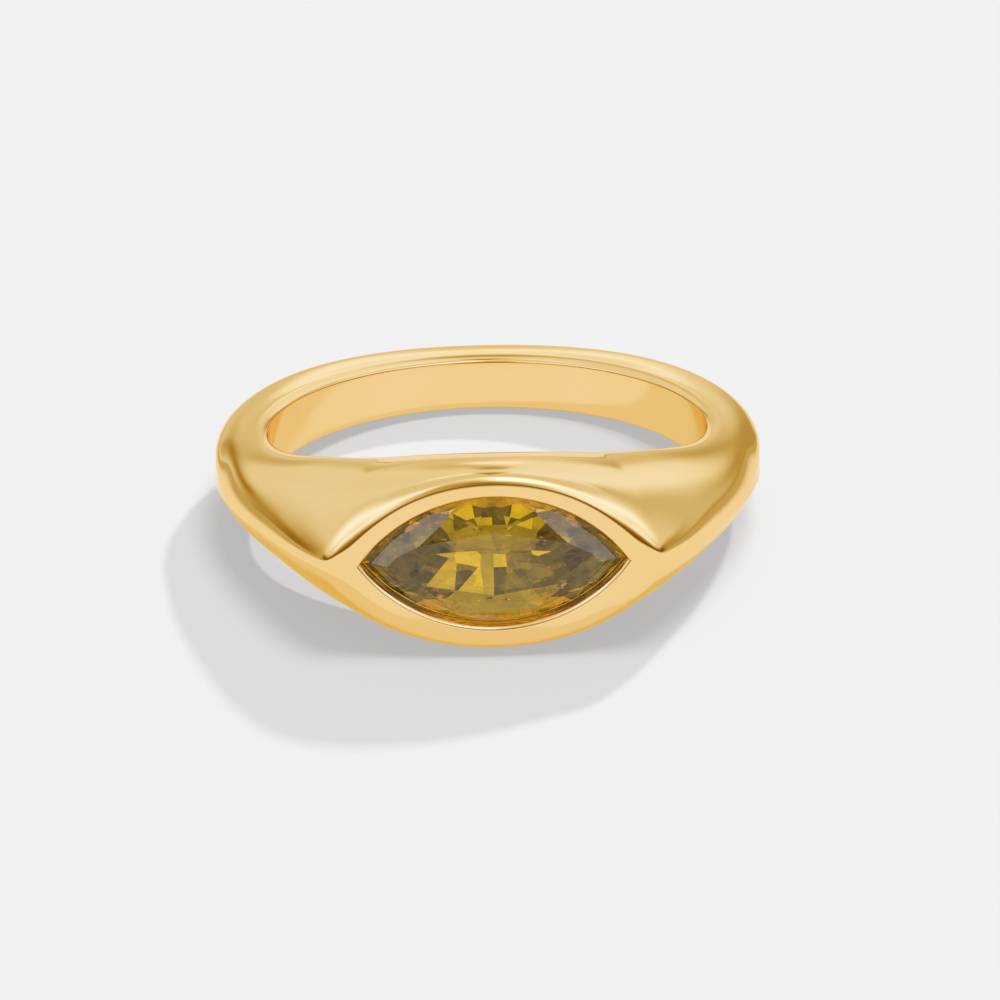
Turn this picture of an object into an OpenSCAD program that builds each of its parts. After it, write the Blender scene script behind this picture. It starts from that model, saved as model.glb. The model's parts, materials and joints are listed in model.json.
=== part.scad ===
// Finger ring with one long pointed stone, lying on its side as it rests on a table.
// The band is one casting: a slim shank at the back that swells into shoulders and a flat front.
// The stone is a pointed oval with a table, set in a recess of the front.

/* [Band] */
// Inner diameter of the band
inner_d = 17.3; // [16.5:0.1:18.5]
// Height of the flat front above the bore
front_rise = 3.19; // [3.14:0.01:3.3]

/* [Setting] */
// Half length of the recess at the front
recess_half_l = 5.04; // [5.04:0.02:5.16]
// Half width of the recess at the front
recess_half_w = 2.72; // [2.66:0.02:2.8]
// Half length of the open window behind the stone
window_half_l = 4.35; // [4.35:0.05:4.5]
// Half width of the open window behind the stone
window_half_w = 2.05; // [2.05:0.05:2.15]
// Gap between the stone and the metal
gap = 0.04; // [0.03:0.01:0.06]

/* [Stone] */
// Half length of the stone
stone_half_l = 4.95; // [4.85:0.05:4.95]
// Half width of the stone
stone_half_w = 2.5; // [2.4:0.05:2.5]
// Height of the crown above the girdle
crown_h = 0.56; // [0.5:0.02:0.6]
// Thickness of the girdle
girdle_h = 0.14; // [0.1:0.02:0.2]
// Depth of the pavilion below the girdle
pavilion_h = 2.05; // [1.95:0.05:2.1]
// How far the top of the girdle lies below the flat front
girdle_depth = 0.43; // [0.35:0.02:0.5]

/* [Hidden] */

bore_r = inner_d / 2;
front_y = bore_r + front_rise;
girdle_top = front_y - girdle_depth;
girdle_low = girdle_top - girdle_h;

// Shape of the shank, one row for each angle from the middle of the front. Where the front's plane
// cuts it off, the wall and the outer edge are those that it would have without the cut.
// Columns: angle, half height at the bore, wall, half width of the outer edge, crown, rim, softness
SHANK = [
    [0, 3.34, 6.51, 0.43, 1.77, 0.33, 0.03],
    [16, 3.23, 6.23, 0.44, 1.38, 0.36, 0.16],
    [32, 2.74, 4.59, 0.50, 0.42, 0.37, 0.58],
    [48, 2.34, 2.94, 0.50, 0.14, 0.39, 0.58],
    [66, 1.65, 2.36, 0.57, 0.19, 0.46, 0.58],
    [90, 1.22, 1.98, 0.79, 0.19, 0.57, 0.63],
    [135, 1.07, 1.82, 1.40, 0.20, 0.66, 0.57],
    [180, 1.04, 1.74, 0.99, 0.16, 0.68, 0.59],
];
ANGLE = 0;
HALF_H = 1;
WALL = 2;
EDGE = 3;
CROWN = 4;
RIM = 5;
SOFT = 6;
last_row = len(SHANK) - 1;

row_steps = 8;      // sections from one row of the table to the next
span_steps = 2;     // points on each stretch of a section's curve
cut_blend = 0.05;   // how softly the front's plane takes over from the shank's outer edge
front_cos = 0.2;    // cosine of the largest angle at which the front's plane is worked out
crown_place = 0.58; // where the flank's crown lies, as a share of the wall
flank_end = [0.45, 0.95];     // least and most share of the cut flank before its corner is rounded
flank_shares = [0.40, 0.71];  // where two more of the flank's control points lie on that share
roll = 2.2;         // how far the flank rolls over towards the front, in units of the softness
roll_blend = 0.15;  // how softly that is limited where the front runs out
roll_cos = 0.8;     // cosine of the angle from which the roll is full
side = 0.33;        // rounding on the front's side of the corner, in units of the softness
side_blend = 0.06;  // how softly that is limited
rim_limits = [0.9, 0.55];     // how far the rim may run down the bore, as shares of its half height
skin = 0.12;        // metal left inside the bore, which the bore then cuts away
reach = 3;          // how far a cutter runs past what it cuts
lens_steps = 24;    // points on each side of a pointed oval

function smooth_max(a, b, k) = (a + b + sqrt((a - b) ^ 2 + k ^ 2)) / 2;
function smooth_min(a, b, k) = -smooth_max(-a, -b, k);

// Smooth curve that four neighbouring values pull towards them
function pull(p, t) =
    ((1 - t) ^ 3 * p[0] + (3 * t ^ 3 - 6 * t ^ 2 + 4) * p[1]
    + (1 + 3 * t + 3 * t ^ 2 - 3 * t ^ 3) * p[2] + t ^ 3 * p[3]) / 6;

// The table is mirrored at the front and at the back. A step of 1 is one row of it.
function mirrored(row, turn) = [for (c = [0 : SOFT]) c == ANGLE ? turn - row[c] : row[c]];
function shank_row(i) =
    i < 0 ? mirrored(SHANK[-i], 0) :
    i > last_row ? mirrored(SHANK[2 * last_row - i], 360) :
    SHANK[i];
function shank(step) =
    let (i = min(floor(step), last_row - 1))
    pull([for (k = [-1 : 2]) shank_row(i + k)], step - i);

// A pointed oval is two arcs of one radius that meet at the tips
function arc_r(half_l, half_w) = (half_l ^ 2 + half_w ^ 2) / (2 * half_w);
function oval_side(half_l, half_w) =
    let (r = arc_r(half_l, half_w), turn = asin(half_l / r))
    [for (i = [0 : lens_steps - 1])
        let (t = turn * (1 - 2 * i / lens_steps))
        [r * sin(t), r * cos(t) - r + half_w]];
function oval(half_l, half_w) =
    let (side = oval_side(half_l, half_w))
    concat(side, [for (p = side) [-p[0], -p[1]]]);

// Control points of a section's upper half, as radius and height, from the bore to the outer edge.
// The flank runs on behind the front, whose plane cuts it at a share of its curve.
function upper_half(row) =
    let (
        inner = [bore_r - skin, row[HALF_H]],
        crest = [bore_r + crown_place * row[WALL], row[HALF_H] + row[CROWN]],
        outer = [bore_r + row[WALL], row[EDGE]],
        rise = crest[0] - inner[0],
        bend = inner[0] - 2 * crest[0] + outer[0],
        to_plane = front_y / max(cos(row[ANGLE]), front_cos) - inner[0],
        cut = to_plane / (rise + sqrt(max(rise ^ 2 + bend * to_plane, 0))),
        end = smooth_min(cut, 1, cut_blend),
        whole = flank(inner, crest, outer, end),
        speed = 2 * norm((1 - end) * (crest - inner) + end * (outer - crest)),
        turn = min(max(end - row[SOFT] / speed, flank_end[0] * end), flank_end[1] * end),
        near = min(max(cos(row[ANGLE]) / roll_cos, 0), 1),
        down = smooth_min(roll * row[SOFT] * near ^ 2 * (3 - 2 * near), whole[1] / 2, roll_blend),
        corner = whole - [0, down]
    )
    [
        [inner[0], 0],
        inner - [0, min(2 * row[RIM], rim_limits[0] * row[HALF_H])],
        inner - [0, min(row[RIM], rim_limits[1] * row[HALF_H])],
        inner,
        inner + (crest - inner) / norm(crest - inner) * row[RIM],
        flank(inner, crest, outer, flank_shares[0] * turn),
        flank(inner, crest, outer, flank_shares[1] * turn),
        flank(inner, crest, outer, turn),
        corner,
        corner - [0, smooth_min(side * row[SOFT], corner[1] / 2, side_blend)],
        [corner[0], 0],
    ];
function flank(from, over, to, s) = (1 - s) ^ 2 * from + 2 * s * (1 - s) * over + s ^ 2 * to;
function whole_section(row) =
    let (up = upper_half(row), last = len(up) - 1)
    concat(up, [for (i = [last - 1 : -1 : 1]) [up[i][0], -up[i][1]]]);
function smooth_section(row) =
    let (c = whole_section(row), n = len(c))
    [for (i = [0 : n - 1], k = [0 : span_steps - 1])
        pull([c[(i + n - 1) % n], c[i], c[(i + 1) % n], c[(i + 2) % n]], k / span_steps)];

// The front looks along -Y, and the finger's axis is Z
function place(angle, p) = [p[0] * sin(angle), -p[0] * cos(angle), p[1]];
stations = 2 * last_row * row_steps;
sections = [for (s = [0 : stations - 1])
    let (step = last_row - s / row_steps, row = shank(abs(step)))
    [for (p = smooth_section(row)) place(sign(step) * row[ANGLE], p)]];
skin_points = [for (section = sections) each section];

// The ring lies on its side and touches the table with its front and its back.
// The tilt follows from the lowest point of each half, found again after each small turn.
function tipped(p, tilt) = [p[0], p[1] * cos(tilt) + p[2] * sin(tilt), p[2] * cos(tilt) - p[1] * sin(tilt)];
function lowest(points, tilt) =
    let (heights = [for (p = points) tipped(p, tilt)[2]], low = min(heights))
    [for (i = [0 : len(points) - 1]) if (heights[i] == low) points[i]][0];
front_half = [for (p = skin_points) if (p[1] < 0) p];
back_half = [for (p = skin_points) if (p[1] > 0) p];
function rest_tilt(tilt, turns) =
    turns == 0 ? tilt :
    let (f = lowest(front_half, tilt), b = lowest(back_half, tilt))
    rest_tilt(atan2(b[2] - f[2], b[1] - f[1]), turns - 1);
tilt = rest_tilt(0, 4);
resting = [for (p = skin_points) tipped(p, tilt)];
lift = -min([for (p = resting) p[2]]);
slide = -(min([for (p = resting) p[1]]) + max([for (p = resting) p[1]])) / 2;

module at_rest() {
    translate([0, slide, lift]) rotate([-tilt, 0, 0]) children();
}

// Side faces between closed rings of n points, row after row
function wrap(rows, n, closed) =
    [for (i = [0 : rows - (closed ? 1 : 2)], j = [0 : n - 1])
        let (
            a = i * n + j,
            b = i * n + (j + 1) % n,
            c = ((i + 1) % rows) * n + (j + 1) % n,
            d = ((i + 1) % rows) * n + j
        )
        each [[a, b, c], [a, c, d]]];

module band_blank() {
    polyhedron(skin_points, wrap(stations, len(sections[0]), true), convexity = 8);
}

// Recess, bearing and window behind the stone, one pointed oval for each depth from the axis
wall_h = 0.12;       // upright wall at the mouth of the recess
bearing_h = 0.55;    // height over which the bearing narrows to the window
seat_half_l = stone_half_l + 1.5 * gap;
seat_half_w = stone_half_w + gap;
// Columns: distance from the finger's axis, half length, half width
CAVITY = [
    [front_y + reach, recess_half_l, recess_half_w],
    [front_y - wall_h, recess_half_l, recess_half_w],
    [girdle_top, seat_half_l, seat_half_w],
    [girdle_low - gap / 2, seat_half_l, seat_half_w],
    [girdle_low - bearing_h, window_half_l, window_half_w],
    [bore_r - reach, window_half_l, window_half_w],
];
module cavity() {
    n = 2 * lens_steps;
    points = [for (row = CAVITY, p = oval(row[1], row[2])) [p[0], -row[0], p[1]]];
    ends = [[for (i = [n - 1 : -1 : 0]) i], [for (i = [0 : n - 1]) (len(CAVITY) - 1) * n + i]];
    polyhedron(points, concat(wrap(len(CAVITY), n, false), ends));
}

module band() {
    color("goldenrod") at_rest() difference() {
        band_blank();
        cavity();
        cylinder(r = bore_r, h = 4 * front_rise, center = true, $fn = 180);
    }
}

// Each facet is one flat cut. Its normal looks sideways at an angle from the stone's width,
// it touches the outline there at the girdle's edge, and it slopes inwards by the cut's angle.
function outline_reach(side) =
    let (r = arc_r(stone_half_l, stone_half_w), turn = asin(stone_half_l / r))
    side <= turn ? r - (r - stone_half_w) * cos(side) : stone_half_l * sin(side);
function cut_angle(rise, from, to) = atan2(rise, from - to);

// Corners of the table on one quarter, from the middle of a side to a tip
TABLE_CORNERS = [[0, 0.51 * stone_half_w], [0.57 * stone_half_l, 0.32 * stone_half_w], [0.9 * stone_half_l, 0]];
crown_sides = [0, 27, 90];         // where the long facets of the crown look
girdle_sides = [6.5, 20, 34, 48];  // where the small facets beside the girdle look
upper_girdle_slope = 38;
star_slope = 17;

// The pavilion has three rows of facets: beside the girdle, in the middle and along the keel
lower_girdle_slope = 46;
middle_sides = [0, 13, 27, 41, 66];
middle_slope = 40;
middle_start = 0.45;               // depth where the middle row starts
keel_side = 7;
keel_end_side = 24;
keel_end_slope = 35;
keel_start = 1.2;                  // depth where the facets along the keel start
middle_inset = middle_start / tan(lower_girdle_slope);
keel_inset = middle_inset + (keel_start - middle_start) / tan(middle_slope);

function across(side, p) = p[0] * sin(side) + p[1] * cos(side);
// Columns: side, height or depth of the cut's start, reach there, slope
main_cuts = [for (i = [0 : 2])
    let (s = crown_sides[i], from = outline_reach(s))
    [s, 0, from, cut_angle(crown_h, from, across(s, TABLE_CORNERS[i]))]];
star_cuts = [for (i = [0 : 1])
    let (
        p = TABLE_CORNERS[i],
        q = TABLE_CORNERS[i + 1],
        s = atan2(p[1] - q[1], q[0] - p[0])
    )
    [s, crown_h, across(s, p), star_slope]];
upper_cuts = [for (s = girdle_sides) [s, 0, outline_reach(s), upper_girdle_slope]];
crown_cuts = concat(main_cuts, star_cuts, upper_cuts);
keel_reach = outline_reach(keel_side) - keel_inset;
pavilion_cuts = concat(
    [for (s = girdle_sides) [s, 0, outline_reach(s), lower_girdle_slope]],
    [for (s = middle_sides) [s, middle_start, outline_reach(s) - middle_inset, middle_slope]],
    [
        [keel_side, keel_start, keel_reach, cut_angle(pavilion_h - keel_start, keel_reach, 0)],
        [keel_end_side, keel_start, outline_reach(keel_end_side) - keel_inset, keel_end_slope],
    ]
);

// One cut on all four quarters, or on two where it lies on an axis of the outline
module facets(cuts) {
    big = 4 * stone_half_l;
    for (cut = cuts)
        for (side = cut[0] == 0 ? [0, 180] : cut[0] == 90 ? [90, -90] :
            [cut[0], -cut[0], 180 - cut[0], 180 + cut[0]])
            rotate([0, 0, -side])
                translate([0, cut[2], cut[1]])
                    rotate([-cut[3], 0, 0])
                        translate([-big / 2, -big / 2, 0])
                            cube([big, big, big]);
}

module girdle_outline() {
    r = arc_r(stone_half_l, stone_half_w);
    intersection() {
        translate([0, stone_half_w - r]) circle(r, $fn = 180);
        translate([0, r - stone_half_w]) circle(r, $fn = 180);
    }
}

// The stone stands with its table up, and the girdle's top edge at height 0
module cut_stone() {
    difference() {
        translate([0, 0, -girdle_h - pavilion_h])
            linear_extrude(crown_h + girdle_h + pavilion_h) girdle_outline();
        facets(crown_cuts);
        translate([0, 0, -girdle_h]) mirror([0, 0, 1]) facets(pavilion_cuts);
    }
}

module stone() {
    color("olive") at_rest() translate([0, -girdle_top, 0]) rotate([90, 0, 0]) cut_stone();
}

band();
stone();
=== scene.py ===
# Gold finger ring with one long pointed olive crystal, lying on its side on a pale table.
# It has two pieces: a cast band that is slim at the back and flat at the front,
# and a faceted stone that sits in a recess of the front.
# The ring's sizes are in millimetres, and those of the table top and the studio in metres.
import bisect
import functools
import math

import bmesh
import bpy
from mathutils import Matrix, Vector
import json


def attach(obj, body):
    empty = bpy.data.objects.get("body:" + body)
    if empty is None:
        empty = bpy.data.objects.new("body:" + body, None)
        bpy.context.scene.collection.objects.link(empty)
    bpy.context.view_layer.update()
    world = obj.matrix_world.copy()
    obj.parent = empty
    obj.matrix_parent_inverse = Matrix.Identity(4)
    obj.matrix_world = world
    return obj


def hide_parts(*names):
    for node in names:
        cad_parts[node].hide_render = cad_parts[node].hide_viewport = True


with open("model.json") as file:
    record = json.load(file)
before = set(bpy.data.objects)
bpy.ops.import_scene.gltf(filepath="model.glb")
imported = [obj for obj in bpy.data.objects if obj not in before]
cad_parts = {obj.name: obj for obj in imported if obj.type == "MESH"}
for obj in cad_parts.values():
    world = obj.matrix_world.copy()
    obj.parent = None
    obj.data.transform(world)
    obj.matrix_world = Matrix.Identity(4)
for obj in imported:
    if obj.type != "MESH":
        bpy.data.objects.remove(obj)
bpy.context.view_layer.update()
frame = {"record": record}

# Band: one casting, gold plated and mirror polished.
# Its shank swells into shoulders that run out in a flat pointed front.
# A recess in the front takes the stone, and a window behind it opens into the finger hole.
MM = 0.001
finger = next(m for m in frame["record"]["mounts"] if m["name"] == "finger")
BORE_R = finger["dims"]["r_mm"]
FRONT_RISE = 3.18
FRONT_Y = BORE_R + FRONT_RISE
WINDOW = (4.35, 2.05)
GAP = 0.04
STONE_HALF_L = 4.95
STONE_HALF_W = 2.50
GIRDLE_DEPTH = 0.43
GIRDLE_H = 0.14
GIRDLE_TOP = FRONT_Y - GIRDLE_DEPTH
GIRDLE_LOW = GIRDLE_TOP - GIRDLE_H

# Shape of the shank, one row for each angle from the middle of the front. Where the front's plane
# cuts it off, the wall and the outer edge are those that it would have without the cut.
# Columns: angle, half height at the bore, wall, half width of the outer edge, crown, rim, softness
SHANK = [
    (0, 3.33, 6.79, 0.47, 1.78, 0.33, 0.17),
    (16, 3.20, 5.96, 0.40, 1.35, 0.36, 0.17),
    (32, 2.73, 4.47, 0.40, 0.62, 0.38, 0.48),
    (48, 2.33, 2.95, 0.41, 0.19, 0.40, 0.56),
    (66, 1.62, 2.36, 0.55, 0.20, 0.46, 0.60),
    (90, 1.20, 1.98, 0.79, 0.19, 0.57, 0.62),
    (135, 1.07, 1.81, 1.40, 0.20, 0.66, 0.56),
    (180, 1.04, 1.74, 0.99, 0.16, 0.69, 0.59),
]
ANGLE = 0
LAST_ROW = len(SHANK) - 1
FINE = 100  # steps from one row of the table to the next
CUT_BLEND = 0.05  # how softly the front's plane takes over from the shank's outer edge
FRONT_COS = 0.2  # cosine of the largest angle at which the front's plane is worked out
CROWN_PLACE = 0.61  # where the flank's crown lies, as a share of the wall
FLANK_END = (0.45, 0.95)  # least and most share of the cut flank before its corner is rounded
FLANK_SHARES = (0.40, 0.71)  # where two more of the flank's control points lie on that share
RIM_LIMITS = (0.9, 0.55)  # how far the rim may run down the bore, as shares of its half height
ROLL = 2.2  # how far the flank rolls over towards the front, in units of the softness
ROLL_BLEND = 0.15  # how softly that is limited where the front runs out
ROLL_COS = 0.8  # cosine of the angle from which the roll is full
SIDE = 0.33  # rounding on the front's side of the corner, in units of the softness
SIDE_BLEND = 0.06  # how softly that is limited
SKIN = 0.12  # how far inside the bore's radius a section's control points lie
BORE_BLEND = 0.04  # how softly the rim runs into the bore


def smooth_max(a, b, k):
    return (a + b + math.sqrt((a - b) ** 2 + k ** 2)) / 2


def smooth_min(a, b, k):
    return -smooth_max(-a, -b, k)


def smooth_share(share):
    """The same share from 0 to 1, with a soft start and a soft end."""
    share = min(max(share, 0), 1)
    return share ** 2 * (3 - 2 * share)


def pulls(s):
    """How much each of four neighbouring control values counts on a smooth curve."""
    return (
        (1 - s) ** 3 / 6,
        (3 * s ** 3 - 6 * s ** 2 + 4) / 6,
        (1 + 3 * s + 3 * s ** 2 - 3 * s ** 3) / 6,
        s ** 3 / 6,
    )


def shank_row(i):
    """A row of the table, which is mirrored at the front and at the back."""
    if i < 0:
        return (-SHANK[-i][ANGLE], *SHANK[-i][1:])
    if i > LAST_ROW:
        return (360 - SHANK[2 * LAST_ROW - i][ANGLE], *SHANK[2 * LAST_ROW - i][1:])
    return SHANK[i]


def smooth_row(step):
    low = min(step // FINE, LAST_ROW - 1)
    rows = [shank_row(low + k) for k in (-1, 0, 1, 2)]
    share = pulls(step / FINE - low)
    return [sum(pull * row[c] for pull, row in zip(share, rows)) for c in range(len(SHANK[0]))]


smooth_rows = [smooth_row(step) for step in range(LAST_ROW * FINE + 1)]
smooth_angles = [row[ANGLE] for row in smooth_rows]


def shank(angle):
    """All columns at an angle, without the angle itself."""
    i = min(bisect.bisect_right(smooth_angles, angle), len(smooth_rows) - 1)
    low, high = smooth_rows[i - 1], smooth_rows[i]
    s = (angle - low[ANGLE]) / (high[ANGLE] - low[ANGLE])
    return [a + (b - a) * s for a, b in zip(low[1:], high[1:])]


def arc_r(half_l, half_w):
    """Radius of the two arcs of a pointed oval."""
    return (half_l ** 2 + half_w ** 2) / (2 * half_w)


def oval_half_w(x, half_l, half_w):
    """Half width of a pointed oval, which is two arcs that meet at the tips."""
    r = arc_r(half_l, half_w)
    return math.sqrt(max(r ** 2 - x ** 2, 0)) - r + half_w


def wider_oval(oval, by):
    """The pointed oval whose two arcs lie further out by that much."""
    half_l, half_w = oval
    r = arc_r(half_l, half_w)
    return math.sqrt((r + by) ** 2 - (r - half_w) ** 2), half_w + by


@functools.lru_cache(maxsize=64)
def section_controls(angle):
    """Control points of a section's upper half, from the bore to the outer edge."""
    cos = math.cos(math.radians(angle))
    half_h, wall, edge, crown, rim, soft = shank(abs(angle))
    inner = Vector((BORE_R - SKIN, half_h))
    crest = Vector((BORE_R + CROWN_PLACE * wall, half_h + crown))
    outer = Vector((BORE_R + wall, edge))

    def flank(s):
        return inner * (1 - s) ** 2 + crest * (2 * s * (1 - s)) + outer * s ** 2

    rise = crest.x - inner.x
    bend = inner.x - 2 * crest.x + outer.x
    to_plane = FRONT_Y / max(cos, FRONT_COS) - inner.x
    cut = to_plane / (rise + math.sqrt(max(rise ** 2 + bend * to_plane, 0)))
    end = smooth_min(cut, 1, CUT_BLEND)
    corner = flank(end)
    speed = 2 * ((crest - inner) * (1 - end) + (outer - crest) * end).length
    turn = min(max(end - soft / speed, FLANK_END[0] * end), FLANK_END[1] * end)
    corner.y -= smooth_min(ROLL * soft * smooth_share(cos / ROLL_COS), corner.y / 2, ROLL_BLEND)
    half = [
        Vector((inner.x, 0)),
        inner - Vector((0, min(2 * rim, RIM_LIMITS[0] * half_h))),
        inner - Vector((0, min(rim, RIM_LIMITS[1] * half_h))),
        inner,
        inner + (crest - inner).normalized() * rim,
        flank(FLANK_SHARES[0] * turn),
        flank(FLANK_SHARES[1] * turn),
        flank(turn),
        corner,
        corner - Vector((0, smooth_min(SIDE * soft, corner.y / 2, SIDE_BLEND))),
        Vector((corner.x, 0)),
    ]
    before = Vector((half[1].x, -half[1].y))
    after = Vector((half[-2].x, -half[-2].y))
    return [before] + half + [after]


SECTION_END = 10  # t in the middle of the outer edge
BORE_T = 1.5  # t well inside the bore, where a column starts to turn to its outer angle
FACE_T = 8.4  # t just past the rounded corner, where that turn is complete


def section_point(angle, t):
    """Radius and height on a section, with t from 0 in the middle of the bore to its end."""
    controls = section_controls(angle)
    i = min(int(t), SECTION_END - 1)
    point = sum((controls[i + k] * pull for k, pull in enumerate(pulls(t - i))), Vector((0, 0)))
    return smooth_max(point.x, BORE_R, BORE_BLEND), point.y


HALVINGS = 24


def section_t(angle, height, low, high):
    """Where a section reaches a height, between two values of t."""
    rising = section_point(angle, high)[1] > section_point(angle, low)[1]
    for _ in range(HALVINGS):
        t = (low + high) / 2
        if (section_point(angle, t)[1] < height) == rising:
            low = t
        else:
            high = t
    return (low + high) / 2


# The recess's wall is one rounded lip. It starts on the flat front, along an oval that is wider
# than the seat of the stone, and ends upright on that seat.
SEAT = (STONE_HALF_L + 1.5 * GAP, STONE_HALF_W + GAP)
LIP_WIDTH = 0.22
LIP_DEPTH = 0.40
LIP = wider_oval(SEAT, LIP_WIDTH)
LIP_ROUNDS = 12


def recess_column(share):
    """Angle and section t of a point of the lip's outer line, at a share of its half length.

    Each sets the other, so both come closer with each round.
    """
    x = LIP[0] * share
    height = oval_half_w(x, *LIP)
    angle = math.degrees(math.atan(x / FRONT_Y))
    for _ in range(LIP_ROUNDS):
        t = section_t(angle, height, FACE_T, SECTION_END)
        angle = math.degrees(math.asin(x / section_point(angle, t)[0]))
    return angle, t


BLENDED_BORE_R = BORE_R + BORE_BLEND ** 2 / (4 * SKIN)


def window_angle(share):
    """Angle of the window's edge in the bore, at a share of the window's half length."""
    return math.degrees(math.asin(WINDOW[0] * share / BLENDED_BORE_R))


# The window's tip in the bore lies at another angle than the recess's tip on the front. Past them
# the columns even that out, up to the angle where the turn ends.
TIP_ANGLE = recess_column(1)[0]
TIP_STEP = 0.001
TIP_TURN = (window_angle(1) - window_angle(1 - TIP_STEP)) / (TIP_ANGLE - recess_column(1 - TIP_STEP)[0])
TURN_END = 80


def bore_angle(angle):
    """Where a column that lies past the recess's tip meets the bore."""
    wide = TURN_END - TIP_ANGLE
    s = (abs(angle) - TIP_ANGLE) / wide
    if s >= 1:
        return angle
    turned = (
        (2 * s ** 3 - 3 * s ** 2 + 1) * window_angle(1)
        + (s ** 3 - 2 * s ** 2 + s) * wide * TIP_TURN
        + (3 * s ** 2 - 2 * s ** 3) * TURN_END
        + (s ** 3 - s ** 2) * wide
    )
    return math.copysign(turned, angle)


def evenly(low, high, steps):
    """Equal steps from low to high, without high itself."""
    return [low + (high - low) * i / steps for i in range(steps)]


BORE_STEPS = 8
FLANK_STEPS = 62
FACE_STEPS = 14


def column_points(angle, inner_angle, first_t, last_t):
    """Points of one column, from the bore over the flank to the outer edge."""
    places = evenly(first_t, BORE_T, BORE_STEPS) + evenly(BORE_T, FACE_T, FLANK_STEPS)
    places += evenly(FACE_T, last_t, FACE_STEPS) + [last_t]
    points = []
    for t in places:
        there = inner_angle + (angle - inner_angle) * smooth_share((t - BORE_T) / (FACE_T - BORE_T))
        r, height = section_point(there, t)
        turn = math.radians(there)
        points.append(Vector((r * math.sin(turn), -r * math.cos(turn), height)))
    return points


RECESS_COLUMNS = 100
SHANK_COLUMNS = 130
TIP_CROWDING = 0.75  # how much closer the columns stand near the recess's tips
BACK_SPREAD = 0.65  # how much further apart they stand towards the back


def band_columns():
    """The columns around the band. The shares say where the first ones stand along the recess."""
    columns = []
    shares = []
    for i in range(RECESS_COLUMNS + 1):
        s = 2 * i / RECESS_COLUMNS - 1
        share = (1 - TIP_CROWDING) * s + TIP_CROWDING * math.sin(s * math.pi / 2)
        shares.append(share)
        angle, last_t = recess_column(share)
        inner_angle = window_angle(share)
        height = oval_half_w(WINDOW[0] * share, *WINDOW)
        first_t = section_t(inner_angle, height, 0, BORE_T)
        if abs(s) == 1:
            first_t, last_t = 0, SECTION_END
        columns.append(column_points(angle, inner_angle, first_t, last_t))
    for i in range(1, 2 * SHANK_COLUMNS):
        s = i / SHANK_COLUMNS
        s = s if s <= 1 else 2 - s
        angle = TIP_ANGLE + (180 - TIP_ANGLE) * ((1 - BACK_SPREAD) * s + BACK_SPREAD * s ** 2)
        angle = angle if i <= SHANK_COLUMNS else -angle
        columns.append(column_points(angle, bore_angle(angle), 0, SECTION_END))
    return columns, shares


FACE_R = section_point(0, SECTION_END)[0]
BEARING_H = 0.55  # height over which the bearing narrows to the window
LIP_STEPS = 14
SEAT_STEPS = 6
CREASE = 0.02  # short stretch that keeps the window's edge crisp


def recess_rings():
    """Side of the recess from the lip inwards: distance from the finger's axis, then the oval there."""
    rings = []
    for i in range(1, LIP_STEPS):
        turn = math.radians(90 * i / LIP_STEPS)
        depth = LIP_DEPTH * (1 - math.cos(turn))
        rings.append((FACE_R - depth, wider_oval(SEAT, LIP_WIDTH * (1 - math.sin(turn)))))
    corners = [
        (FACE_R - LIP_DEPTH, SEAT),
        (GIRDLE_LOW - GAP / 2, SEAT),
        (GIRDLE_LOW - BEARING_H, WINDOW),
    ]
    rings.append(corners[0])
    for (d, oval), (next_d, next_oval) in zip(corners, corners[1:]):
        for i in range(1, SEAT_STEPS + 1):
            s = i / SEAT_STEPS
            rings.append((
                d + (next_d - d) * s,
                (oval[0] + (next_oval[0] - oval[0]) * s, oval[1] + (next_oval[1] - oval[1]) * s),
            ))
    rings.append((GIRDLE_LOW - BEARING_H - CREASE, WINDOW))
    return rings


def add_skin(mesh, columns):
    """The band's skin. Its halves share their inner and outer edges, except beside the recess."""
    crossing = range(1, RECESS_COLUMNS)
    upper = []
    lower = []
    for k, points in enumerate(columns):
        up = [mesh.verts.new(p) for p in points]
        down = []
        for j, p in enumerate(points):
            shared = j in (0, len(points) - 1) and k not in crossing
            down.append(up[j] if shared else mesh.verts.new((p.x, p.y, -p.z)))
        upper.append(up)
        lower.append(down)
    count = len(columns)
    for k in range(count):
        n = (k + 1) % count
        for j in range(len(columns[0]) - 1):
            mesh.faces.new((upper[k][j], upper[n][j], upper[n][j + 1], upper[k][j + 1]))
            mesh.faces.new((lower[k][j], lower[k][j + 1], lower[n][j + 1], lower[n][j]))
    return upper, lower


def add_recess(mesh, upper, lower, shares):
    """Lip, seat and window, ring after ring from the flat front to the bore."""
    upper_side = range(RECESS_COLUMNS + 1)
    lower_side = range(RECESS_COLUMNS - 1, 0, -1)
    rings = [[upper[k][-1] for k in upper_side] + [lower[k][-1] for k in lower_side]]
    for i, (distance, oval) in enumerate(recess_rings()):
        # The first rings follow the front, which rolls off a little towards its tips
        follow = max(1 - (i + 1) / LIP_STEPS, 0)
        ring = []
        for side, row in ((1, upper_side), (-1, lower_side)):
            for k in row:
                x = oval[0] * shares[k]
                roll_off = (FACE_R + upper[k][-1].co.y) * follow
                ring.append(mesh.verts.new((x, roll_off - distance, side * oval_half_w(x, *oval))))
        rings.append(ring)
    rings.append([upper[k][0] for k in upper_side] + [lower[k][0] for k in lower_side])
    for ring, deeper in zip(rings, rings[1:]):
        for a in range(len(ring)):
            b = (a + 1) % len(ring)
            mesh.faces.new((ring[a], ring[b], deeper[b], deeper[a]))


def build_band():
    mesh = bmesh.new()
    columns, shares = band_columns()
    upper, lower = add_skin(mesh, columns)
    add_recess(mesh, upper, lower, shares)
    bmesh.ops.recalc_face_normals(mesh, faces=mesh.faces)
    return mesh


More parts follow.
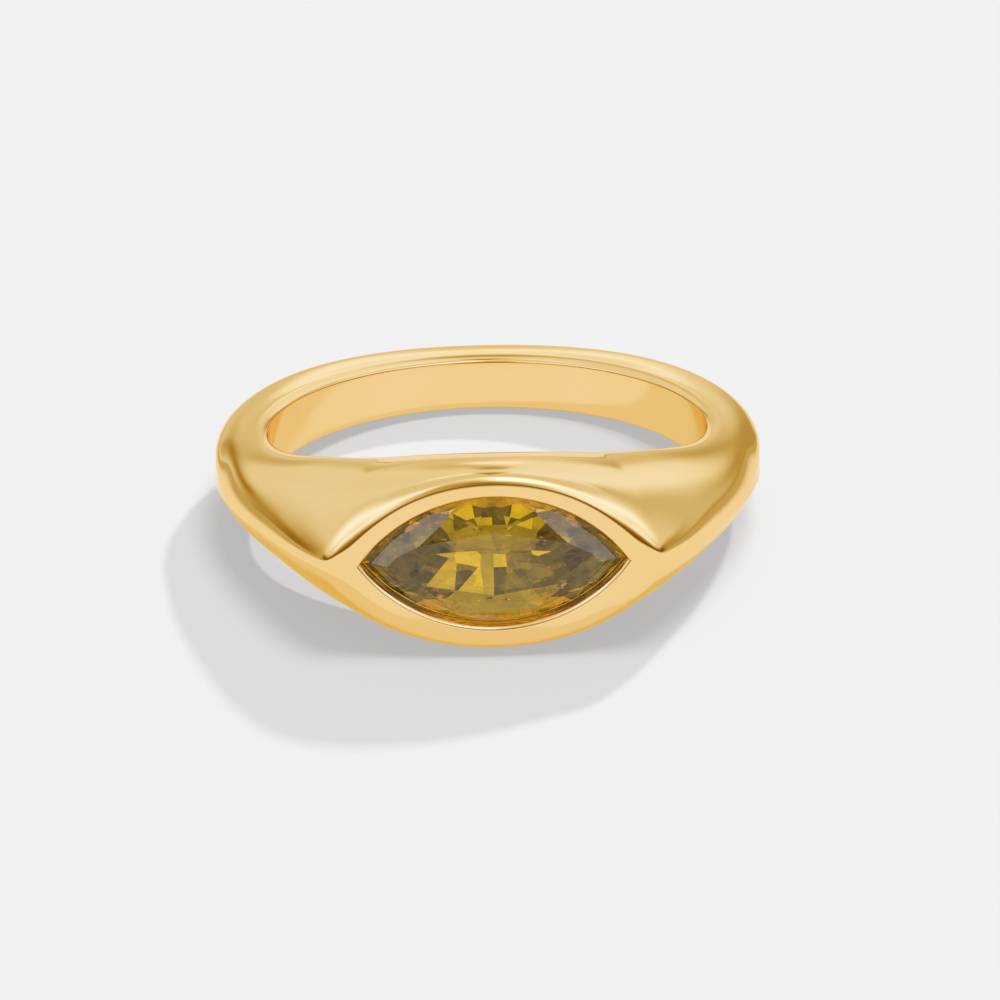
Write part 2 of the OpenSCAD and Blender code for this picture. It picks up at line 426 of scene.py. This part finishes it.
# The ring's own frame has the finger's axis as Z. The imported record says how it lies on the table.
# The smooth meshes are a touch smaller than the solids, so that they stay inside the solids' box.
SMALLER = 0.997
finger_axis = Vector(finger["axis"]).normalized()
side_axis = Vector((1, 0, 0))
AT_REST = Matrix.Translation(finger["pos_m"]) @ Matrix(
    (side_axis, finger_axis.cross(side_axis), finger_axis)
).transposed().to_4x4() @ Matrix.Scale(MM * SMALLER, 4)


def add_piece(name, mesh, smooth):
    mesh.transform(AT_REST)
    data = bpy.data.meshes.new(name)
    mesh.to_mesh(data)
    mesh.free()
    if smooth:
        data.shade_smooth()
    else:
        data.shade_flat()
    piece = bpy.data.objects.new(name, data)
    bpy.context.collection.objects.link(piece)
    return piece


# Polishing leaves slow unevenness and fine marks that run one way. The group gives the first as
# a value and the second as a normal.
UNEVEN_DETAIL = 3
MARK_DETAIL = 2


def build_polish():
    group = bpy.data.node_groups.new("hand_polish", "ShaderNodeTree")
    sockets = [
        ("Spread", "INPUT", "NodeSocketFloat"),
        ("Stretch", "INPUT", "NodeSocketVector"),
        ("Mark Height", "INPUT", "NodeSocketFloat"),
        ("Unevenness", "OUTPUT", "NodeSocketFloat"),
        ("Normal", "OUTPUT", "NodeSocketVector"),
    ]
    for name, way, kind in sockets:
        group.interface.new_socket(name, in_out=way, socket_type=kind)
    nodes, links = group.nodes, group.links
    given = nodes.new("NodeGroupInput")
    result = nodes.new("NodeGroupOutput")
    place = nodes.new("ShaderNodeTexCoord")
    slow = nodes.new("ShaderNodeTexNoise")
    slow.inputs["Detail"].default_value = UNEVEN_DETAIL
    links.new(place.outputs["Object"], slow.inputs["Vector"])
    links.new(given.outputs["Spread"], slow.inputs["Scale"])
    stretched = nodes.new("ShaderNodeVectorMath")
    stretched.operation = "MULTIPLY"
    links.new(place.outputs["Object"], stretched.inputs[0])
    links.new(given.outputs["Stretch"], stretched.inputs[1])
    fine = nodes.new("ShaderNodeTexNoise")
    fine.inputs["Scale"].default_value = 1
    fine.inputs["Detail"].default_value = MARK_DETAIL
    links.new(stretched.outputs["Vector"], fine.inputs["Vector"])
    relief = nodes.new("ShaderNodeBump")
    relief.inputs["Strength"].default_value = 1
    links.new(given.outputs["Mark Height"], relief.inputs["Distance"])
    links.new(fine.outputs["Fac"], relief.inputs["Height"])
    links.new(slow.outputs["Fac"], result.inputs["Unevenness"])
    links.new(relief.outputs["Normal"], result.inputs["Normal"])
    return group


polish = build_polish()


def add_polish(tree, spread, stretch, mark_height):
    node = tree.nodes.new("ShaderNodeGroup")
    node.node_tree = polish
    node.inputs["Spread"].default_value = spread
    node.inputs["Stretch"].default_value = stretch
    node.inputs["Mark Height"].default_value = mark_height
    return node


# Sockets of a node that mixes two colours
MIX_SHARE = 0
MIX_LOW = 6
MIX_HIGH = 7
MIX_RESULT = 2


def mix_colours(tree, share, low, high):
    """The low colour where the share is 0, running into the high one where it is 1."""
    node = tree.nodes.new("ShaderNodeMix")
    node.data_type = "RGBA"
    tree.links.new(share, node.inputs[MIX_SHARE])
    for socket, colour in ((node.inputs[MIX_LOW], low), (node.inputs[MIX_HIGH], high)):
        if isinstance(colour, tuple):
            socket.default_value = (*colour, 1)
        else:
            tree.links.new(colour, socket)
    return node.outputs[MIX_RESULT]


NOISE_LOW = 0.3
NOISE_HIGH = 0.7


def between(tree, noise, low, high):
    """Spreads a noise, whose values lie mostly between two levels, from low to high."""
    node = tree.nodes.new("ShaderNodeMapRange")
    node.inputs["From Min"].default_value = NOISE_LOW
    node.inputs["From Max"].default_value = NOISE_HIGH
    node.inputs["To Min"].default_value = low
    node.inputs["To Max"].default_value = high
    tree.links.new(noise, node.inputs["Value"])
    return node.outputs["Result"]


# The plating is a little paler in places, and the mirror a little softer there. The tint keeps
# its reflections golden at grazing angles.
GOLD_RICH = (1.0, 0.71, 0.28)
GOLD_PALE = (1.0, 0.73, 0.33)
GOLD_TINT = (1.0, 0.92, 0.72)
MIRROR_SHARP = 0.03
MIRROR_SOFT = 0.08
gold = bpy.data.materials.new("polished_gold")
gold.use_nodes = True
gold_tree = gold.node_tree
gold_shader = gold_tree.nodes["Principled BSDF"]
gold_polish = add_polish(gold_tree, spread=260, stretch=(1800, 1800, 9000), mark_height=0.3e-6)
uneven = gold_polish.outputs["Unevenness"]
gold_tree.links.new(
    mix_colours(gold_tree, between(gold_tree, uneven, 0, 1), GOLD_RICH, GOLD_PALE),
    gold_shader.inputs["Base Color"],
)
gold_tree.links.new(
    between(gold_tree, uneven, MIRROR_SHARP, MIRROR_SOFT), gold_shader.inputs["Roughness"]
)
gold_tree.links.new(gold_polish.outputs["Normal"], gold_shader.inputs["Normal"])
gold_shader.inputs["Metallic"].default_value = 1
gold_shader.inputs["Specular Tint"].default_value = (*GOLD_TINT, 1)

band = add_piece("ring_band", build_band(), True)
band.data.materials.append(gold)
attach(band, "root")
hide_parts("band")

# Stone: a transparent olive crystal, cut as a pointed oval with a long table.
# Its crown slopes down from the table in flat facets, and the pavilion below returns the light.
# It drops into the recess on its girdle and is held by the recess's edge.
CROWN_H = 0.56
PAVILION_H = 2.05
# Corners of the table on one quarter, from the middle of a side to a tip
TABLE_CORNERS = [
    (0, 0.51 * STONE_HALF_W),
    (0.57 * STONE_HALF_L, 0.32 * STONE_HALF_W),
    (0.9 * STONE_HALF_L, 0),
]
# A facet's side is the angle from the stone's width at which it looks, in degrees
CROWN_SIDES = (0, 27, 90)
GIRDLE_SIDES = (6.5, 20, 34, 48)
UPPER_GIRDLE_SLOPE = 38
STAR_SLOPE = 17
# Facets of the pavilion touch a cone of this slope, each row at its own depth.
CONE_SLOPE = 45
# Columns: depth where the row touches the cone, slope, extra slope of every second facet, sides
PAVILION_ROWS = [
    (0.10, 55, 5, (2, 7, 13, 19, 26, 34, 48, 66)),
    (0.40, 47, -5, (4, 10, 16, 23, 31, 40, 54)),
    (0.66, 41, 5, (1, 7, 13, 20, 29, 38, 48, 74)),
    (0.92, 47, -6, (3, 9, 16, 24, 34, 46, 62)),
    (1.16, 38, 5, (1, 7, 13, 20, 30, 42)),
    (1.38, 45, -6, (4, 10, 17, 28)),
    (1.58, 35, 4, (2, 8, 15)),
    (1.78, 29, 3, (3, 11)),
]


def outline_reach(side):
    """How far the girdle's outline reaches in a direction, as an angle from the stone's width."""
    r = arc_r(STONE_HALF_L, STONE_HALF_W)
    if side <= math.degrees(math.asin(STONE_HALF_L / r)):
        return r - (r - STONE_HALF_W) * math.cos(math.radians(side))
    return STONE_HALF_L * math.sin(math.radians(side))


def across(side, point):
    """How far a point reaches towards a side."""
    turn = math.radians(side)
    return point[0] * math.sin(turn) + point[1] * math.cos(turn)


def slope_between(rise, start, end):
    """Slope of a facet that rises from one reach to another."""
    return math.degrees(math.atan2(rise, start - end))


def crown_cuts():
    """Each cut is a side, the height and reach of its start, and its slope."""
    cuts = [(0, CROWN_H, 0, 0)]
    for side, corner in zip(CROWN_SIDES, TABLE_CORNERS):
        reach = outline_reach(side)
        cuts.append((side, 0, reach, slope_between(CROWN_H, reach, across(side, corner))))
    for p, q in zip(TABLE_CORNERS, TABLE_CORNERS[1:]):
        side = math.degrees(math.atan2(p[1] - q[1], q[0] - p[0]))
        cuts.append((side, CROWN_H, across(side, p), STAR_SLOPE))
    return cuts + [(side, 0, outline_reach(side), UPPER_GIRDLE_SLOPE) for side in GIRDLE_SIDES]


def pavilion_cuts():
    """Steep and flat facets in turn, so that neighbours send the light to different places."""
    cuts = []
    for depth, slope, extra, sides in PAVILION_ROWS:
        inset = depth / math.tan(math.radians(CONE_SLOPE))
        for k, side in enumerate(sides):
            cuts.append((side, depth, outline_reach(side) - inset, slope + extra * (k % 2)))
    return cuts


NEAR_CUT = 1e-5  # points this near to a cut lie on it


def grind(mesh, cut, base, up):
    """Cuts one facet on all four quarters, above or below the girdle."""
    side, height, reach, slope = cut
    steep, flat = math.sin(math.radians(slope)), math.cos(math.radians(slope))
    for turned in sorted({side % 360, -side % 360, (180 - side) % 360, (180 + side) % 360}):
        a = math.radians(turned)
        point = Vector((reach * math.sin(a), reach * math.cos(a), base + up * height))
        normal = Vector((math.sin(a) * steep, math.cos(a) * steep, up * flat))
        parts = mesh.verts[:] + mesh.edges[:] + mesh.faces[:]
        cut_line = bmesh.ops.bisect_plane(
            mesh, geom=parts, dist=NEAR_CUT, plane_co=point, plane_no=normal, clear_outer=True
        )["geom_cut"]
        edges = [e for e in cut_line if isinstance(e, bmesh.types.BMEdge)]
        if len(edges) > 2:
            bmesh.ops.contextual_create(mesh, geom=edges)


GIRDLE_STEPS = 48
ROUGH_TOP = 2 * CROWN_H
ROUGH_LOW = -GIRDLE_H - 1.5 * PAVILION_H
SAME_POINT = 1e-4


def build_stone():
    """Grinds the facets from a rough block with the girdle's outline, its table up."""
    mesh = bmesh.new()
    outline = []
    for side in (1, -1):
        for i in range(GIRDLE_STEPS):
            x = side * STONE_HALF_L * math.cos(math.pi * i / GIRDLE_STEPS)
            outline.append((x, side * oval_half_w(x, STONE_HALF_L, STONE_HALF_W)))
    upper = [mesh.verts.new((x, y, ROUGH_TOP)) for x, y in outline]
    lower = [mesh.verts.new((x, y, ROUGH_LOW)) for x, y in outline]
    mesh.faces.new(upper)
    mesh.faces.new(lower)
    for a in range(len(outline)):
        b = (a + 1) % len(outline)
        mesh.faces.new((upper[a], lower[a], lower[b], upper[b]))
    bmesh.ops.recalc_face_normals(mesh, faces=mesh.faces)
    for cut in crown_cuts():
        grind(mesh, cut, 0, 1)
    for cut in pavilion_cuts():
        grind(mesh, cut, -GIRDLE_H, -1)
    bmesh.ops.remove_doubles(mesh, verts=mesh.verts, dist=SAME_POINT)
    bmesh.ops.recalc_face_normals(mesh, faces=mesh.faces)
    mesh.transform(Matrix.Translation((0, -GIRDLE_TOP, 0)) @ Matrix.Rotation(math.radians(90), 4, "X"))
    return mesh


# The crystal is clear and deeply coloured. Its facets are flat, with a trace of the polishing wheel.
CRYSTAL_DEEP = (0.54, 0.36, 0.003)
CRYSTAL_BRIGHT = (0.66, 0.47, 0.01)
CRYSTAL_IOR = 1.85
crystal = bpy.data.materials.new("olive_crystal")
crystal.use_nodes = True
crystal_tree = crystal.node_tree
crystal_nodes, crystal_links = crystal_tree.nodes, crystal_tree.links
crystal_shader = crystal_nodes["Principled BSDF"]
crystal_polish = add_polish(crystal_tree, spread=500, stretch=(9000, 2500, 2500), mark_height=0.02e-6)
cloudy = between(crystal_tree, crystal_polish.outputs["Unevenness"], 0, 1)
crystal_links.new(
    mix_colours(crystal_tree, cloudy, CRYSTAL_DEEP, CRYSTAL_BRIGHT), crystal_shader.inputs["Base Color"]
)
crystal_links.new(crystal_polish.outputs["Normal"], crystal_shader.inputs["Normal"])
crystal_shader.inputs["Roughness"].default_value = 0
crystal_shader.inputs["IOR"].default_value = CRYSTAL_IOR
crystal_shader.inputs["Transmission Weight"].default_value = 1
# Painted glow: the crystal's surface gives off a faint light of its own, dim or bright in small
# angular patches, so the darkest facets stay brown.
PAINTED_GLOW_SPREAD = 1700
PAINTED_GLOW_DIM = (0.08, 0.05, 0.02)
PAINTED_GLOW_BRIGHT = (1.0, 0.75, 0.16)
PAINTED_GLOW_STRENGTH = 0.045
crystal_place = crystal_nodes.new("ShaderNodeTexCoord")
painted_glow_cells = crystal_nodes.new("ShaderNodeTexVoronoi")
painted_glow_cells.inputs["Scale"].default_value = PAINTED_GLOW_SPREAD
crystal_links.new(crystal_place.outputs["Object"], painted_glow_cells.inputs["Vector"])
painted_glow_patch = crystal_nodes.new("ShaderNodeSeparateColor")
crystal_links.new(painted_glow_cells.outputs["Color"], painted_glow_patch.inputs["Color"])
painted_glow_share = between(crystal_tree, painted_glow_patch.outputs["Red"], 0, 1)
# Painted glow: colour of that faint light, from dim to bright patch by patch
crystal_links.new(
    mix_colours(crystal_tree, painted_glow_share, PAINTED_GLOW_DIM, PAINTED_GLOW_BRIGHT), crystal_shader.inputs["Emission Color"]
)
crystal_shader.inputs["Emission Strength"].default_value = PAINTED_GLOW_STRENGTH
# The body takes the blue out of what passes through it.
BODY_COLOUR = (0.94, 0.87, 0.3)
BODY_DENSITY = 300
crystal_body = crystal_nodes.new("ShaderNodeVolumeAbsorption")
crystal_body.inputs["Color"].default_value = (*BODY_COLOUR, 1)
crystal_body.inputs["Density"].default_value = BODY_DENSITY
crystal_links.new(crystal_body.outputs["Volume"], crystal_nodes["Material Output"].inputs["Volume"])

stone = add_piece("crystal_stone", build_stone(), False)
stone.data.materials.append(crystal)
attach(stone, "root")
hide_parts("stone")

# Table top: a plain pale surface, wide enough to fill every view. It is no part of the ring.
# The ring lies on it by itself, on the lowest points of its front and its back.
FLOOR_HALF = 1.2
FLOOR_CORNERS = ((-1, -1), (1, -1), (1, 1), (-1, 1))
floor_data = bpy.data.meshes.new("floor")
floor_data.from_pydata(
    [(x * FLOOR_HALF, y * FLOOR_HALF, 0) for x, y in FLOOR_CORNERS], [], [(0, 1, 2, 3)]
)
floor = bpy.data.objects.new("floor", floor_data)
bpy.context.collection.objects.link(floor)
pale = bpy.data.materials.new("pale_table")
pale.use_nodes = True
floor_tree = pale.node_tree
floor_nodes, floor_links = floor_tree.nodes, floor_tree.links
floor_rays = floor_nodes.new("ShaderNodeLightPath")
FLOOR_ROUGHNESS = 0.9


def floor_shader(colour, glow):
    node = floor_nodes.new("ShaderNodeBsdfPrincipled")
    node.inputs["Base Color"].default_value = (*colour, 1)
    node.inputs["Roughness"].default_value = FLOOR_ROUGHNESS
    node.inputs["Specular IOR Level"].default_value = 0
    node.inputs["Emission Color"].default_value = (*glow, 1)
    node.inputs["Emission Strength"].default_value = 1
    return node.outputs["BSDF"]


def floor_choice(share, otherwise, chosen):
    node = floor_nodes.new("ShaderNodeMixShader")
    floor_links.new(share, node.inputs[0])
    floor_links.new(otherwise, node.inputs[1])
    floor_links.new(chosen, node.inputs[2])
    return node.outputs["Shader"]


def add_math(tree, operation, *values):
    """A sum on values and on other nodes' outputs."""
    node = tree.nodes.new("ShaderNodeMath")
    node.operation = operation
    for socket, value in zip(node.inputs, values):
        if isinstance(value, (int, float)):
            socket.default_value = value
        else:
            tree.links.new(value, socket)
    return node.outputs[0]


def add_step(tree, value, low, high):
    """Rises softly from 0 to 1 while the value goes from low to high."""
    node = tree.nodes.new("ShaderNodeMapRange")
    node.interpolation_type = "SMOOTHSTEP"
    tree.links.new(value, node.inputs["Value"])
    node.inputs["From Min"].default_value = low
    node.inputs["From Max"].default_value = high
    return node.outputs["Result"]


# In the gold's view the table turns darker towards its front and its two ends, which draws the
# ring's ridges. It does so between these two distances, and to the front that much further out.
DARK_START = 0.020
DARK_FULL = 0.050
FRONT_FURTHER = 0.035
floor_place = floor_nodes.new("ShaderNodeSeparateXYZ")
floor_links.new(floor_nodes.new("ShaderNodeTexCoord").outputs["Object"], floor_place.inputs[0])
sideways = add_math(floor_tree, "ABSOLUTE", floor_place.outputs["X"])
forwards = add_math(floor_tree, "SUBTRACT", -FRONT_FURTHER, floor_place.outputs["Y"])
furthest = add_math(floor_tree, "MAXIMUM", sideways, forwards)
dark_ends = add_step(floor_tree, furthest, DARK_START, DARK_FULL)

# The gold sees a warmer table than the eye does, and the crystal sees a darker one.
# Each pair is the table's colour and its own faint light.
TO_THE_EYE = ((0.08, 0.08, 0.08), (0.44, 0.44, 0.44))
IN_THE_GOLD = ((0.03, 0.055, 0.125), (0.72, 0.56, 0.20))
DARK_IN_THE_GOLD = ((0.01, 0.01, 0.01), (0.50, 0.40, 0.18))
IN_THE_CRYSTAL = ((0.03, 0.03, 0.03), (0.40, 0.39, 0.37))
floor_seen = floor_shader(*TO_THE_EYE)
floor_in_gold = floor_choice(dark_ends, floor_shader(*IN_THE_GOLD), floor_shader(*DARK_IN_THE_GOLD))
floor_in_crystal = floor_shader(*IN_THE_CRYSTAL)
floor_links.new(
    floor_choice(
        floor_rays.outputs["Is Singular Ray"],
        floor_choice(floor_rays.outputs["Is Glossy Ray"], floor_seen, floor_in_gold),
        floor_in_crystal,
    ),
    floor_nodes["Material Output"].inputs["Surface"],
)
floor.data.materials.append(pale)

# Studio: a pale dome with soft-edged lit and dark patches, which the gold mirrors, even light on
# the table, and a room of small panes that only the crystal sees. A small lamp at the back right
# and a wide one overhead throw the shadows.
world = bpy.data.worlds.new("studio")
bpy.context.scene.world = world
world.use_nodes = True
sky = world.node_tree
background = sky.nodes["Background"]
TO_DEGREES = 180 / math.pi
direction = sky.nodes.new("ShaderNodeSeparateXYZ")
sky.links.new(sky.nodes.new("ShaderNodeTexCoord").outputs["Generated"], direction.inputs[0])
to_right, to_back, upwards = direction.outputs
elevation = add_math(sky, "MULTIPLY", add_math(sky, "ARCSINE", upwards), TO_DEGREES)
to_front = add_math(sky, "MULTIPLY", to_back, -1)
azimuth = add_math(sky, "MULTIPLY", add_math(sky, "ARCTAN2", to_right, to_front), TO_DEGREES)

# Each row is a soft-edged patch of the studio, laid over those before it.
# Columns: middle, half width and soft edge in degrees around, lower and upper end and soft edge in
# degrees above the table, then its brightness
DOME = 0.75
GOLD_PATCHES = [
    ("ceiling", 0, 200, 10, 29, 120, 3, 0.72),
    ("back_wall", 178, 53, 21, 13, 71, 7, 0.98),
    ("front_panel", -2, 92, 27, 25, 46, 10, 1.18),
    ("key_panel", 10, 19, 22, -5, 68, 11, 1.49),
    ("front_left", -9, 9, 4, 24, 52, 17, 0.54),
    ("left_glow", -27, 9, 5, 14, 34, 5, 1.15),
    ("low_left", -114, 17, 17, -20, 16, 9, 0.17),
    ("low_right", 86, 83, 7, -20, 11, 4, 0.36),
    ("right_side", 124, 10, 9, 2, 45, 2, 0.60),
    ("front_gap", 0, 90, 12, -20, 11, 5, 0.08),
    ("camera_shade", 0, 13, 21, -20, 34, 10, 0.10),
    ("back_gap", -174, 6, 4, 11, 31, 11, 0.10),
    ("back_left", -153, 31, 31, 7, 56, 3, 0.80),
    ("low_back", -148, 19, 7, 4, 9, 4, 0.14),
    ("right_glow", 28, 10, 6, 18, 40, 5, 1.12),
    ("top_back", 179, 11, 5, 62, 91, 12, 0.32),
    ("back_card", 179, 4, 3, 14, 22, 4, 1.08),
    ("back_slot", 179, 4, 3, 29, 44, 4, 0.42),
]
# The same for what the crystal's sharp reflections and refractions see
CRYSTAL_PATCHES = [
    ("left_window", -48, 20, 3, 22, 58, 3, 1.50),
    ("right_window", 48, 20, 3, 22, 58, 3, 1.50),
    ("camera_shade", 0, 22, 4, 12, 50, 4, 0.14),
]


def sky_patch(below, middle, half, soft, low, high, blur, brightness):
    around = add_math(sky, "PINGPONG", add_math(sky, "SUBTRACT", azimuth, middle), 180)
    inside = add_step(sky, around, half + soft, half - soft)
    above = add_step(sky, elevation, low - blur, low + blur)
    under = add_step(sky, elevation, high + blur, high - blur)
    share = add_math(sky, "MULTIPLY", inside, add_math(sky, "MULTIPLY", above, under))
    change = add_math(sky, "MULTIPLY", share, add_math(sky, "SUBTRACT", brightness, below))
    return add_math(sky, "ADD", below, change)


def laid_over(level, patches):
    """Lays patches, without their names, over a level."""
    for _, *patch in patches:
        level = sky_patch(level, *patch)
    return level


gold_level = laid_over(DOME, GOLD_PATCHES)

# The crystal sees a room of many panes, each a few degrees across, which makes its facets sparkle.
PANE_WIDTH = 7
PANE_HEIGHT = 5
PANE_BLUR = 0.2
PANE_DARK = 0.16
PANE_BRIGHT = 1.30
around_wave = add_math(sky, "COSINE", add_math(sky, "MULTIPLY", azimuth, math.pi / PANE_WIDTH))
rising_wave = add_math(sky, "SINE", add_math(sky, "MULTIPLY", elevation, math.pi / PANE_HEIGHT))
pane_wave = add_math(sky, "MULTIPLY", around_wave, rising_wave)
lit = add_step(sky, pane_wave, -PANE_BLUR, PANE_BLUR)
panes = add_math(sky, "ADD", PANE_DARK, add_math(sky, "MULTIPLY", lit, PANE_BRIGHT - PANE_DARK))
crystal_level = laid_over(panes, CRYSTAL_PATCHES)

# The studio's light is warm where it is dim and cool where it is bright.
# Columns: brightness, then the colour there
LIGHT_COLOURS = [
    (0.00, (0.10, 0.03, 0.00)),
    (0.25, (0.38, 0.25, 0.05)),
    (0.47, (0.56, 0.47, 0.25)),
    (0.69, (0.72, 0.69, 0.59)),
    (0.89, (0.86, 0.89, 1.02)),
    (1.11, (0.97, 1.11, 1.64)),
    (1.40, (1.15, 1.40, 2.60)),
]
BRIGHTEST = LIGHT_COLOURS[-1][0]
colours = sky.nodes.new("ShaderNodeValToRGB")
sky.links.new(add_math(sky, "DIVIDE", gold_level, BRIGHTEST), colours.inputs["Fac"])
stops = colours.color_ramp.elements
while len(stops) < len(LIGHT_COLOURS):
    stops.new(1)
for stop, (brightness, colour) in zip(stops, LIGHT_COLOURS):
    stop.position = brightness / BRIGHTEST
    stop.color = (*colour, 1)

# The table takes even light, the crystal its own room, and the eye sees a plain backdrop.
TABLE_LIGHT = (1.06, 1.06, 1.06)
BACKDROP = (0.88, 0.88, 0.88)
CRYSTAL_LIGHT = (1.0, 0.97, 0.92)
light_path = sky.nodes.new("ShaderNodeLightPath")
even = mix_colours(sky, light_path.outputs["Is Diffuse Ray"], colours.outputs["Color"], TABLE_LIGHT)
plain = sky.nodes.new("ShaderNodeCombineColor")
for channel, share in zip(plain.inputs, CRYSTAL_LIGHT):
    sky.links.new(add_math(sky, "MULTIPLY", crystal_level, share), channel)
sharp = mix_colours(sky, light_path.outputs["Is Singular Ray"], even, plain.outputs["Color"])
seen = mix_colours(sky, light_path.outputs["Is Camera Ray"], sharp, BACKDROP)
sky.links.new(seen, background.inputs["Color"])
bpy.context.scene.view_settings.view_transform = "Standard"


def add_lamp(name, around, above, width, strength):
    """Hangs a lamp in a direction, with its width in degrees too. No reflection shows it."""
    a, e = math.radians(around), math.radians(above)
    towards = Vector((math.sin(a) * math.cos(e), -math.cos(a) * math.cos(e), math.sin(e)))
    data = bpy.data.lights.new(name, "SUN")
    data.energy = strength
    data.angle = math.radians(width)
    lamp = bpy.data.objects.new(name, data)
    lamp.rotation_euler = towards.to_track_quat("Z", "Y").to_euler()
    lamp.location = towards
    lamp.visible_glossy = False
    lamp.visible_transmission = False
    bpy.context.collection.objects.link(lamp)


add_lamp("back_lamp", around=148, above=38.5, width=4, strength=10.0)
add_lamp("top_lamp", around=82, above=79, width=26, strength=8.1)

# Camera: in front of the ring and above the table, at the viewing angle of the photograph.
# Its distance and lens follow from the shape of the round finger hole in the picture.
CAMERA_DISTANCE = 0.300
CAMERA_RISE = 19.98
CAMERA_YAW = 0.85
CAMERA_ROLL = 1.05
PIXELS_PER_MM = 25.4
IMAGE_PIXELS = 1000
HOLE_CENTRE_PIXELS = (487.4, 456.9)
SENSOR_MM = 36


def aim_camera():
    away_axis = finger_axis.cross(side_axis)
    yaw, rise, roll = (math.radians(a) for a in (CAMERA_YAW, CAMERA_RISE, CAMERA_ROLL))
    level = side_axis * math.sin(yaw) + away_axis * math.cos(yaw)
    right = side_axis * math.cos(yaw) - away_axis * math.sin(yaw)
    forward = level * math.cos(rise) - finger_axis * math.sin(rise)
    up = right.cross(forward)
    centre = Vector(finger["pos_m"])
    place = centre - forward * CAMERA_DISTANCE
    rolled_right = right * math.cos(roll) - up * math.sin(roll)
    rolled_up = up * math.cos(roll) + right * math.sin(roll)
    off_x, off_y = ((IMAGE_PIXELS / 2 - p) / PIXELS_PER_MM * MM for p in HOLE_CENTRE_PIXELS)
    target = centre + rolled_right * off_x - rolled_up * off_y
    back = (place - target).normalized()
    right_axis = rolled_up.cross(back).normalized()
    up_axis = back.cross(right_axis)
    data = bpy.data.cameras.new("camera")
    data.sensor_width = SENSOR_MM
    data.lens = PIXELS_PER_MM / MM * CAMERA_DISTANCE / IMAGE_PIXELS * SENSOR_MM
    camera = bpy.data.objects.new("camera", data)
    turned = Matrix((right_axis, up_axis, back)).transposed().to_4x4()
    camera.matrix_world = Matrix.Translation(place) @ turned
    bpy.context.collection.objects.link(camera)
    bpy.context.scene.camera = camera


aim_camera()

import json
